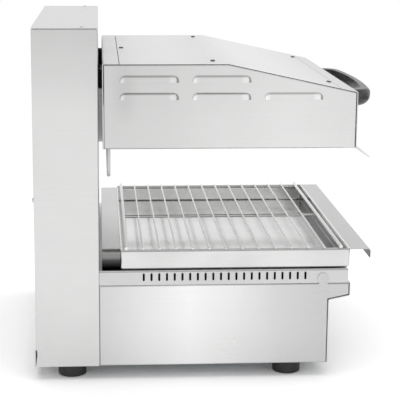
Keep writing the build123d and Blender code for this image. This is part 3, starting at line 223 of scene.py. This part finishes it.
# ---------------------------------------------------------------- inside the column
# Rails, floors and brackets are plain zinc-plated sheet, a little blue and cloudy, since
# nobody sees them in use.
def zinc_plate(name, seed):
    """Plated steel: cloudy crystals in the zinc and a soft uneven shine."""
    material, place = new_material(name)
    clouds = place.noise((0.03, 0.03, 0.03), 4.0, seed)
    spangle = place.node("ShaderNodeTexVoronoi", None, {"Vector": place, "Scale": 160.0}, "Color")
    tone = clouds.above(0.5, 0.25).shaded((0.50, 0.52, 0.54), (0.64, 0.66, 0.68))
    colour = place.node("ShaderNodeMix", {"data_type": "RGBA", "blend_type": "OVERLAY"},
                        {"Factor": 0.08, 6: tone, 7: spangle}, 2)
    return surface(material, place, Base_Color=colour, Metallic=1.0,
                   Roughness=0.34 + clouds * 0.22, Normal=clouds.bump(0.00005))


zinc = zinc_plate("zinc_plate", 1.0)
finish_in(zinc, "column_floor", "guide_rail_right", "guide_rail_left", "strut_brackets", "base_floor",
          "carriage_beam", "element_supports", "sensor_brackets", "pan_runners")

# The lift arms are painted near-black with a woven pattern above 0.409 m: painted shade where they run up
# into the dark gap between the column and the hood.
arm_finish, place = new_material("arm_painted_shade")
clouds = place.noise((0.02, 0.02, 0.04), 3.0, 5.0)
threads = place.noise((0.0016, 0.0016, 0.0012), 2.0, 6.0)
shade_start_height = 0.409
arm_top_shade = place.axis("Z").above(shade_start_height, 0.002)
steel_tone = clouds.above(0.5, 0.3).tinted((0.66, 0.66, 0.66), (0.84, 0.84, 0.84))
shade_weave = threads.above(0.66, 0.04).tinted((0.012, 0.012, 0.013), (0.75, 0.75, 0.75))
finish_in(surface(arm_finish, place, Base_Color=arm_top_shade.shaded(steel_tone, shade_weave), Metallic=1.0 - arm_top_shade,
                  Roughness=0.32 + clouds * 0.2 + arm_top_shade * 0.2, Normal=(threads * arm_top_shade).bump(0.0002)),
          "lift_arm_right", "lift_arm_left")


# ---------------------------------------------------------------- rubber and moulded parts
# Feet and stop pads are moulded rubber with a dusty bloom. Gland, regulators and the switch
# are black moulded plastic with the grain of the tool.
def moulded(name, shade, roughness, grain, depth, seed=0.0):
    """Moulded plastic or rubber: a fine even tool grain with slightly polished high spots."""
    material, place = new_material(name)
    pebbles = place.noise((grain, grain, grain), 2.0, seed)
    dust = place.noise((0.02, 0.02, 0.02), 3.0, seed + 5.0)
    dark, light = [c * 0.8 for c in shade], [min(1.0, c * 1.3 + 0.004) for c in shade]
    colour = (pebbles * 0.4 + dust * 0.6).above(0.5, 0.3).tinted(dark, light)
    return surface(material, place, Base_Color=colour, Roughness=roughness + (dust - 0.5) * 0.2,
                   Normal=pebbles.bump(depth))


rubber = moulded("foot_rubber", (0.035, 0.035, 0.036), 0.62, 0.0008, 0.00006)
finish_in(rubber, "feet", "stop_pads")
black_plastic = moulded("black_plastic", (0.05, 0.05, 0.052), 0.42, 0.0006, 0.00003, 2.0)
finish_in(black_plastic, "cable_gland", "energy_regulators", "sensor_switch")
nylon = moulded("natural_nylon", (0.72, 0.71, 0.66), 0.5, 0.0008, 0.00002, 4.0)
finish_in(nylon, "terminal_block", "pilot_lamps", "guide_roller_lower_right", "guide_roller_lower_left",
          "guide_roller_upper_right", "guide_roller_upper_left")
strut_paint = moulded("strut_paint", (0.03, 0.03, 0.032), 0.3, 0.0015, 0.00001, 6.0)
finish_in(strut_paint, "strut_cylinders")


# ---------------------------------------------------------------- screws, pins and rods
# Turned and headed steel parts are bright, with fine rings from the lathe. The casing's pan
# heads are bright too and the hood's are blackened, each with a cross recess for the driver.
bright, place = new_material("bright_steel")
rings = place.noise((0.0004, 0.0004, 0.0004), 2.0, 7.0)
turned = rings.above(0.5, 0.3).tinted((0.55, 0.55, 0.56), (0.72, 0.72, 0.73))
finish_in(surface(bright, place, Base_Color=turned, Metallic=1.0, Roughness=0.22 + rings * 0.1,
                  Normal=rings.bump(0.00001)),
          "roller_pins", "strut_rods", "spindle_right", "spindle_left")


def solids_of(piece):
    """The vertices of each separate solid of a CAD piece: vertices at one place count as one, and
    the lowest number among neighbours spreads along the edges until nothing changes."""
    count = len(piece.data.vertices)
    points = np.empty(count * 3)
    piece.data.vertices.foreach_get("co", points)
    places, merged = np.unique(points.reshape(-1, 3).round(6), axis=0, return_inverse=True)
    edges = np.empty(len(piece.data.edges) * 2, dtype=int)
    piece.data.edges.foreach_get("vertices", edges)
    edges = merged.reshape(-1)[edges].reshape(-1, 2)
    label, before = np.arange(len(places)), None
    while before is None or (label != before).any():
        before = label.copy()
        lowest = label[edges].min(axis=1)
        np.minimum.at(label, edges[:, 0], lowest)
        np.minimum.at(label, edges[:, 1], lowest)
    return [places[label == value] for value in np.unique(label)]


def recessed_head(points, rings=16, turns=48):
    """A pan head over a plain CAD one. Its axis is the shortest one of the points. The height at
    radius r is H (1 - (r/R)^4)^0.5, less a cross recess 0.55 H deep whose arms are 0.3 R wide and
    1.2 R long. The recess's walls slope over 0.06 R at the sides and 0.1 R at the ends."""
    arm_half, arm_reach, side_slope, end_slope, recess = 0.15, 0.6, 0.06, 0.1, 0.55
    middle = (points.max(axis=0) + points.min(axis=0)) / 2
    _, _, axes = np.linalg.svd(points - points.mean(axis=0), full_matrices=False)
    axis = axes[2]
    along = (points - middle) @ axis
    off = np.linalg.norm(points - middle - np.outer(along, axis), axis=1)
    if off[along > 0].mean() > off[along < 0].mean():
        axis, along = -axis, -along
    radius, height, seat = off.max(), along.max() - along.min(), middle + axis * along.min()
    side = np.cross(axis, [0.3, 0.8, 0.52])
    side /= np.linalg.norm(side)
    other = np.cross(axis, side)
    r, turn = np.meshgrid(np.linspace(0, 1, rings), np.arange(turns) * 2 * np.pi / turns, indexing="ij")
    u, v = r * np.cos(turn), r * np.sin(turn)
    arms = [np.clip((arm_half - abs(a)) / side_slope, 0, 1) * np.clip((arm_reach - abs(b)) / end_slope, 0, 1)
            for a, b in ((u, v), (v, u))]
    rise = height * (np.sqrt(1 - r ** 4) - recess * np.maximum(*arms))
    places = seat + radius * (u[..., None] * side + v[..., None] * other) + rise[..., None] * axis
    number = np.arange(rings * turns).reshape(rings, turns)
    inner, outer = number[:-1], number[1:]
    faces = np.stack([inner, outer, np.roll(outer, -1, 1), np.roll(inner, -1, 1)], axis=-1)
    return places.reshape(-1, 3), faces.reshape(-1, 4)


def screw_heads(name, node, body, material):
    """One mesh of recessed heads, in place of the plain ones of a CAD piece."""
    places, faces, count = [], [], 0
    for points in solids_of(nodes[node]):
        head, skin = recessed_head(points)
        places.append(head)
        faces.append(skin + count)
        count += len(head)
    mesh = bpy.data.meshes.new(name)
    mesh.from_pydata(np.concatenate(places).tolist(), [], np.concatenate(faces).tolist())
    mesh.shade_smooth()
    mesh.materials.append(material)
    piece = bpy.data.objects.new(name, mesh)
    bpy.context.scene.collection.objects.link(piece)
    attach(piece, body)
    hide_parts(node)


dark_steel, place = new_material("blackened_steel")
oil = place.noise((0.0012, 0.0012, 0.0012), 3.0, 8.0)
surface(dark_steel, place, Base_Color=oil.above(0.5, 0.3).tinted((0.10, 0.10, 0.105), (0.24, 0.24, 0.245)),
        Metallic=1.0, Roughness=0.3 + oil * 0.15, Normal=oil.bump(0.00002))
screw_heads("casing_screw_heads", "casing_screws", "stand", bright)
screw_heads("hood_screw_heads", "hood_screws", "hood", dark_steel)


# ---------------------------------------------------------------- base
# Sides, control panel, deck, vent strips and shelf come from the same sheet as the column.
# The grain of the sides runs level, and that of the front pieces runs across.
# The sides' colour is painted lighter in the middle of their length and darker towards the back and the
# front: painted reflection.
base_steel = brushed_sheet("base_steel", (0.98, 0.98, 0.976), "Y", seed=11.0, painted_tone=lambda place:
                           place.axis("Y").span(0.156, -0.161).graded(0.71, 0.87, 1.0, 0.89, 0.73, 0.655))
finish_in(base_steel, "base_side_right", "base_side_left")
strip_steel = brushed_sheet("strip_steel", (0.68, 0.68, 0.677), "Y", seed=13.0)
finish_in(strip_steel, "vent_strip_right", "vent_strip_left")
front_steel = brushed_sheet("front_steel", (0.76, 0.76, 0.757), "X", seed=15.0)
finish_in(front_steel, "control_panel", "deck_plate", "vent_strip_front", "pan_shelf")
# The rear ledge is painted dark towards its lower edge: painted shade and reflection of the dark gap beneath
# it.
ledge_steel = brushed_sheet("ledge_steel", (0.66, 0.66, 0.657), "X", seed=17.0, painted_tone=lambda place:
                            place.axis("Z").span(0.162, 0.186).graded(0.022, 0.036, 0.112, 0.57, 1.0))
finish_in(ledge_steel, "rear_ledge")


# ---------------------------------------------------------------- controls
# A dark ring with printed ticks behind each knob, a white line on the knob to point at them,
# and an amber lens over each pilot lamp.
dial, place = new_material("dial_print")
speckle = place.noise((0.0006, 0.0006, 0.0006), 2.0, 3.0)
knob_x, knob_z = 0.075, 0.067
tick_turn, tick_half, last_tick = math.radians(15), 0.0005, 2.75
tick_inner, tick_outer = 0.0277, 0.0314
aside = abs(place.axis("X")) - knob_x
above_knob = place.axis("Z") - knob_z
from_knob = place.maths("SQRT", aside * aside + above_knob * above_knob, 0.0)
turn = place.maths("ARCTAN2", aside, above_knob)
off_tick = place.maths("PINGPONG", turn, tick_turn) * from_knob
ring = from_knob.above(tick_inner, 0.0001) - from_knob.above(tick_outer, 0.0001)
tick = (1.0 - off_tick.above(tick_half, 0.0001)) * ring * (1.0 - abs(turn).above(last_tick, 0.01))
ground = speckle.above(0.5, 0.3).tinted((0.06, 0.06, 0.062), (0.10, 0.10, 0.104))
finish_in(surface(dial, place, Base_Color=tick.shaded(ground, (0.88, 0.88, 0.87)),
                  Roughness=0.45 + speckle * 0.1, Normal=speckle.bump(0.00001)), "dial_rings")

knob_plastic, place = new_material("knob_plastic")
pebbles = place.noise((0.0006, 0.0006, 0.0006), 2.0, 2.0)
pointer_half, pointer_start = 0.001, knob_z + 0.006
aside = abs(abs(place.axis("X")) - knob_x)
line = (1.0 - aside.above(pointer_half, 0.0001)) * place.axis("Z").above(pointer_start, 0.0001)
ground = pebbles.above(0.5, 0.3).tinted((0.030, 0.030, 0.031), (0.060, 0.060, 0.062))
finish_in(surface(knob_plastic, place, Base_Color=line.shaded(ground, (0.85, 0.85, 0.84)),
                  Roughness=0.38 + pebbles * 0.1, Normal=pebbles.bump(0.00003)), "knob_right", "knob_left")

lens, place = new_material("amber_lens")
facets = place.node("ShaderNodeTexVoronoi", None, {"Vector": place, "Scale": 900.0}, "Distance")
amber = facets.above(0.4, 0.4).tinted((0.95, 0.42, 0.06), (1.0, 0.62, 0.16))
finish_in(surface(lens, place, Base_Color=amber, Roughness=0.12 + facets * 0.1,
                  Transmission_Weight=0.35, IOR=1.5, Normal=facets.bump(0.0002)), "lamp_lenses")


# ---------------------------------------------------------------- hood casing
# Five folded pieces of the same satin sheet. The sides carry the pressed louvres, and the
# roof's grain runs across the machine.
louvre_start, louvre_pitch, sheet_face = 0.1265, 0.0997, 0.2203


def painted_louvre_light(place):
    """Painted highlight on the back end of each pressed louvre and on a band near its front, and painted
    shade at its front end.
    How far a point lies along its louvre is its distance from the first one, modulo the pitch."""
    lit_back, lit_front, rim_front, dark_front = 0.0058, 0.0685, 0.0765, 0.0775
    raised = abs(place.axis("X")).above(sheet_face, 0.0003)
    along = place.maths("FLOORED_MODULO", louvre_start - place.axis("Y"), louvre_pitch)
    back_end = 1.0 - along.above(lit_back, 0.0028)
    lit_end = along.above(lit_front, 0.003) - along.above(rim_front, 0.0012)
    front_end = along.above(dark_front, 0.0012)
    return 1.0 + raised * (0.28 * back_end + 0.14 * lit_end - 0.5 * front_end)


def hood_side_painted_light(place):
    """Painted reflection: lighter from back to front and towards the lower edge, with a darker patch at the
    back.
    """
    level = place.axis("Y").span(0.15, -0.2).graded(0.84, 0.88, 0.96, 1.0, 0.97)
    patch_middle, patch_size = (0.0, 0.1205, 0.412), (1.0, 0.026, 0.06)
    darker_patch = 1.0 - 0.12 * place.near(patch_middle, patch_size)
    return level.times(place.axis("Z").span(0.45, 0.34).graded(0.94, 1.0)).times(darker_patch * painted_louvre_light(place))


hood_steel = brushed_sheet("hood_steel", (0.80, 0.80, 0.796), "Y", hood_side_painted_light, seed=21.0)
finish_in(hood_steel, "hood_side_right", "hood_side_left")
roof_seam, seam_half = 0.1271, 0.0008


def roof_painted_light_and_joint(place):
    """Painted reflection, palest on the slope, with a dark line along the joint of the roof's two sheets."""
    depth = place.axis("Y")
    level = depth.span(0.15, -0.2).graded(0.70, 0.86, 0.905, 0.87, 0.985, 0.985, 0.92, 0.785)
    joint = depth.above(roof_seam - seam_half, 0.0002) - depth.above(roof_seam + seam_half, 0.0002)
    return level.times(1.0 - 0.55 * joint)


roof_steel = brushed_sheet("roof_steel", (0.90, 0.90, 0.896), "X", roof_painted_light_and_joint, seed=25.0)
finish_in(roof_steel, "hood_top_cover", "hood_rear_channel", "hood_front_panel")

handle_plastic = moulded("handle_plastic", (0.058, 0.058, 0.059), 0.32, 0.0007, 0.00004, 8.0)
finish_in(handle_plastic, "bow_handle")


# ---------------------------------------------------------------- heating
# The liner is mirror-bright sheet, straw-coloured where it has been hot. The elements are
# oxidised tube with ceramic beads on their ends, under a white fibre blanket.
liner, place = new_material("heated_liner")
clouds = place.noise((0.09, 0.09, 0.05), 4.0, 31.0)
wipes = place.noise((0.05, 0.0006, 0.0006), 3.0, 32.0)
hot_height = 0.352
heat = place.axis("Z").above(hot_height, 0.02) * clouds.above(0.5, 0.25)
straw = heat.tinted((0.80, 0.80, 0.79), (0.66, 0.57, 0.42))
finish_in(surface(liner, place, Base_Color=straw, Metallic=1.0, Roughness=0.14 + wipes * 0.12,
                  Normal=wipes.bump(0.000008)), "reflector")

tube, place = new_material("oxidised_tube")
scale = place.noise((0.004, 0.004, 0.004), 5.0, 33.0)
oxide = scale.above(0.5, 0.2).tinted((0.10, 0.085, 0.075), (0.22, 0.20, 0.185))
finish_in(surface(tube, place, Base_Color=oxide, Metallic=0.6, Roughness=0.5 + scale * 0.2,
                  Normal=scale.bump(0.00006)),
          "heating_element_right", "heating_element_left")

fibre, place = new_material("ceramic_fibre")
tufts = place.noise((0.003, 0.003, 0.0015), 6.0, 34.0)
wool = tufts.above(0.5, 0.3).tinted((0.72, 0.71, 0.66), (0.90, 0.89, 0.85))
finish_in(surface(fibre, place, Base_Color=wool, Roughness=0.95, Normal=tufts.bump(0.0008)),
          "insulation_blanket")

bead, place = new_material("glazed_ceramic")
glaze = place.noise((0.002, 0.002, 0.002), 3.0, 35.0)
cream = glaze.above(0.5, 0.3).tinted((0.78, 0.75, 0.68), (0.88, 0.86, 0.80))
finish_in(surface(bead, place, Base_Color=cream, Roughness=0.2 + glaze * 0.1, Normal=glaze.bump(0.00002)),
          "element_terminals")


# ---------------------------------------------------------------- sensor bar, pan and grate
# Bent and welded stainless wire, polished after welding. The pan is bright rolled sheet
# with crossing scratches from cleaning.
wire, place = new_material("polished_wire")
drawn = place.noise((0.02, 0.0004, 0.0004), 3.0, 41.0)
drawn_tone = drawn.above(0.5, 0.25).tinted((0.90, 0.90, 0.895), (0.97, 0.97, 0.965))
finish_in(surface(wire, place, Base_Color=drawn_tone, Metallic=0.75, Roughness=0.24 + drawn * 0.12,
                  Normal=drawn.bump(0.000008)),
          "grate_wires", "grate_bars")

satin_wire, place = new_material("satin_wire")
drawn = place.noise((0.02, 0.0004, 0.0004), 3.0, 45.0)
drawn_tone = drawn.above(0.5, 0.25).tinted((0.92, 0.92, 0.915), (0.98, 0.98, 0.975))
finish_in(surface(satin_wire, place, Base_Color=drawn_tone, Metallic=0.1, Roughness=0.35 + drawn * 0.12,
                  Normal=drawn.bump(0.000008)), "sensor_bar")

tray_steel, place = new_material("rolled_tray_steel")
level = place.noise((0.07, 0.0005, 0.0005), 4.0, 42.0)
cross = place.noise((0.0006, 0.05, 0.0006), 4.0, 43.0)
smears = place.noise((0.08, 0.08, 0.08), 3.0, 44.0)
marks = level * 0.5 + cross * 0.5
front_edge, dim_middle, rim_height, sheet_thickness = -0.1995, -0.176, 0.1856, 0.0012
far_side, rim_side, outer_side = 0.2180, 0.2188, 0.2195
across, depth, height = place.axis("X"), place.axis("Y"), place.axis("Z")
in_front = 1.0 - depth.above(front_edge, 0.0005)
folded_down = in_front * (1.0 - height.above(rim_height - sheet_thickness, 0.0004))
far_wall = (across.above(far_side, 0.0008) - across.above(outer_side, 0.0004)) * (1.0 - in_front)
side_rim = abs(across).above(rim_side, 0.0003) * height.above(rim_height, 0.0003)
dim_end = 1.0 - depth.above(dim_middle, 0.022)
inside = dim_end * (1.0 - in_front) * (1.0 - height.above(rim_height - 0.002, 0.001))
inside = inside * (1.0 - abs(across).above(outer_side, 0.0004))
# Painted shade: the front flange and its folded-down lip, the tops of the side rims and the inside towards
# the front end are painted darker, with streaks; the far wall is painted lighter as a painted reflection.
shade = (0.865 + 0.135 * far_wall - 0.29 * in_front - 0.43 * folded_down
         - 0.43 * side_rim * (1.0 - in_front) - inside * (0.395 + 0.28 * level))
rolled = (marks * 0.5 + smears * 0.5).above(0.5, 0.16).tinted((0.84, 0.84, 0.837), (0.99, 0.99, 0.986))
finish_in(surface(tray_steel, place, Base_Color=rolled.times(shade.graded(0.0, 1.0)), Metallic=1.0,
                  Roughness=0.17 - 0.05 * far_wall + (smears - 0.5) * 0.1 + marks * 0.1,
                  Normal=marks.bump(0.00001)), "crumb_pan")


# ---------------------------------------------------------------- studio
# A sheet of white paper under the machine that keeps its shadow, in a white room. Further
# out the paper runs into the room's own white.
floor_half, paper_end, paper_fade = 9.0, 0.95, 0.35
floor_mesh = bpy.data.meshes.new("floor")
corners = [(-floor_half, -floor_half, 0), (floor_half, -floor_half, 0),
           (floor_half, floor_half, 0), (-floor_half, floor_half, 0)]
floor_mesh.from_pydata(corners, [], [(0, 1, 2, 3)])
floor = bpy.data.objects.new("floor", floor_mesh)
bpy.context.scene.collection.objects.link(floor)
paper, place = new_material("studio_paper")
seen = place.node("ShaderNodeLightPath", output="Is Camera Ray")
mirrored = (place.node("ShaderNodeLightPath", output="Is Glossy Ray")
            + place.node("ShaderNodeLightPath", output="Is Transmission Ray"))
fibres = place.noise((0.004, 0.004, 0.004), 2.0, 51.0)
shown = seen.shaded(mirrored.tinted((0.80, 0.80, 0.80), (1.16, 1.16, 1.16)), (1.45, 1.45, 1.45))
sheet = place.node("ShaderNodeBsdfPrincipled", None,
                   {"Base Color": shown, "Roughness": 0.9 + fibres * 0.05, "Specular IOR Level": 0.0})
depth = place.axis("Y")
dark_side = depth.above(-3.8, 0.4) - depth.above(-0.9, 0.2)
bright_side = depth.above(1.3, 0.2) - depth.above(3.8, 0.4)
sideways = abs(place.axis("X"))
dark_card = (1.0 - sideways.above(0.9, 0.15)) * dark_side
bright_card = (1.0 - sideways.above(0.5, 0.1)) * bright_side
cards = 1.0 - dark_card + 1.8 * bright_card
open_white = seen.shaded(mirrored.shaded((0.80, 0.80, 0.80), cards), (1.0, 1.0, 1.0))
far_off = place.node("ShaderNodeEmission", None, {"Color": open_white, "Strength": 1.0})
edge = place.length().above(paper_end, paper_fade)
both = place.node("ShaderNodeMixShader", None, {0: edge, 1: sheet, 2: far_off})
place.node("ShaderNodeOutputMaterial", None, {"Surface": both})
floor_mesh.materials.append(paper)

world = bpy.data.worlds.new("studio_room")
world.use_nodes = True
world.node_tree.nodes.clear()
bpy.context.scene.world = world
room = Value(world.node_tree)
direction = room.node("ShaderNodeTexCoord", None, None, "Generated")
path = room.node("ShaderNodeLightPath", None, None, "Is Camera Ray")
mirrored = (room.node("ShaderNodeLightPath", None, None, "Is Glossy Ray")
            + room.node("ShaderNodeLightPath", None, None, "Is Transmission Ray"))
height = direction.axis("Z")
walls = height.above(0.55, 0.25).tinted((0.97, 0.97, 0.97), (0.58, 0.58, 0.58))
sky = path.shaded(mirrored.shaded((0.50, 0.50, 0.50), walls), (1.0, 1.0, 1.0))
backdrop = room.node("ShaderNodeBackground", None, {"Color": sky, "Strength": 1.0})
room.node("ShaderNodeOutputWorld", None, {"Surface": backdrop})


def soft_lamp(name, place, target, width, height, power):
    """A large soft box at a place, turned to face its target."""
    data = bpy.data.lights.new(name, "AREA")
    data.shape, data.size, data.size_y, data.energy = "RECTANGLE", width, height, power
    lamp = bpy.data.objects.new(name, data)
    away = Vector(place) - Vector(target)
    lamp.matrix_world = Matrix.Translation(place) @ away.to_track_quat("Z", "Y").to_matrix().to_4x4()
    lamp.visible_glossy = False
    bpy.context.scene.collection.objects.link(lamp)


soft_lamp("overhead_lamp", (0.0, -0.1, 2.2), (0, 0, 0.2), 2.2, 2.2, 21.0)
soft_lamp("near_lamp", (-2.2, -0.9, 1.5), (0, 0, 0.2), 1.4, 1.4, 4.0)
soft_lamp("front_lamp", (0.6, -2.4, 1.3), (0, 0, 0.2), 1.4, 1.4, 4.0)

camera_data = bpy.data.cameras.new("camera")
camera = bpy.data.objects.new("camera", camera_data)
bpy.context.scene.collection.objects.link(camera)
bpy.context.scene.camera = camera
sensor_width, fitted_focal, fitted_width = 36.0, 1.2434, 0.4
camera_place = (-1.9084, 0.1531, 0.6372)
camera_data.sensor_width = sensor_width
camera_data.lens = fitted_focal * sensor_width / fitted_width
camera_data.shift_x, camera_data.shift_y = 0.08, -0.08
yaw, pitch, roll = -0.0551, 0.1938, 0.0036
look = Vector((math.cos(pitch) * math.cos(yaw), math.cos(pitch) * math.sin(yaw), -math.sin(pitch)))
turn = look.to_track_quat("-Z", "Y").to_matrix().to_4x4() @ Matrix.Rotation(roll, 4, "Z")
camera.matrix_world = Matrix.Translation(camera_place) @ turn

bpy.context.scene.view_settings.view_transform = "Standard"
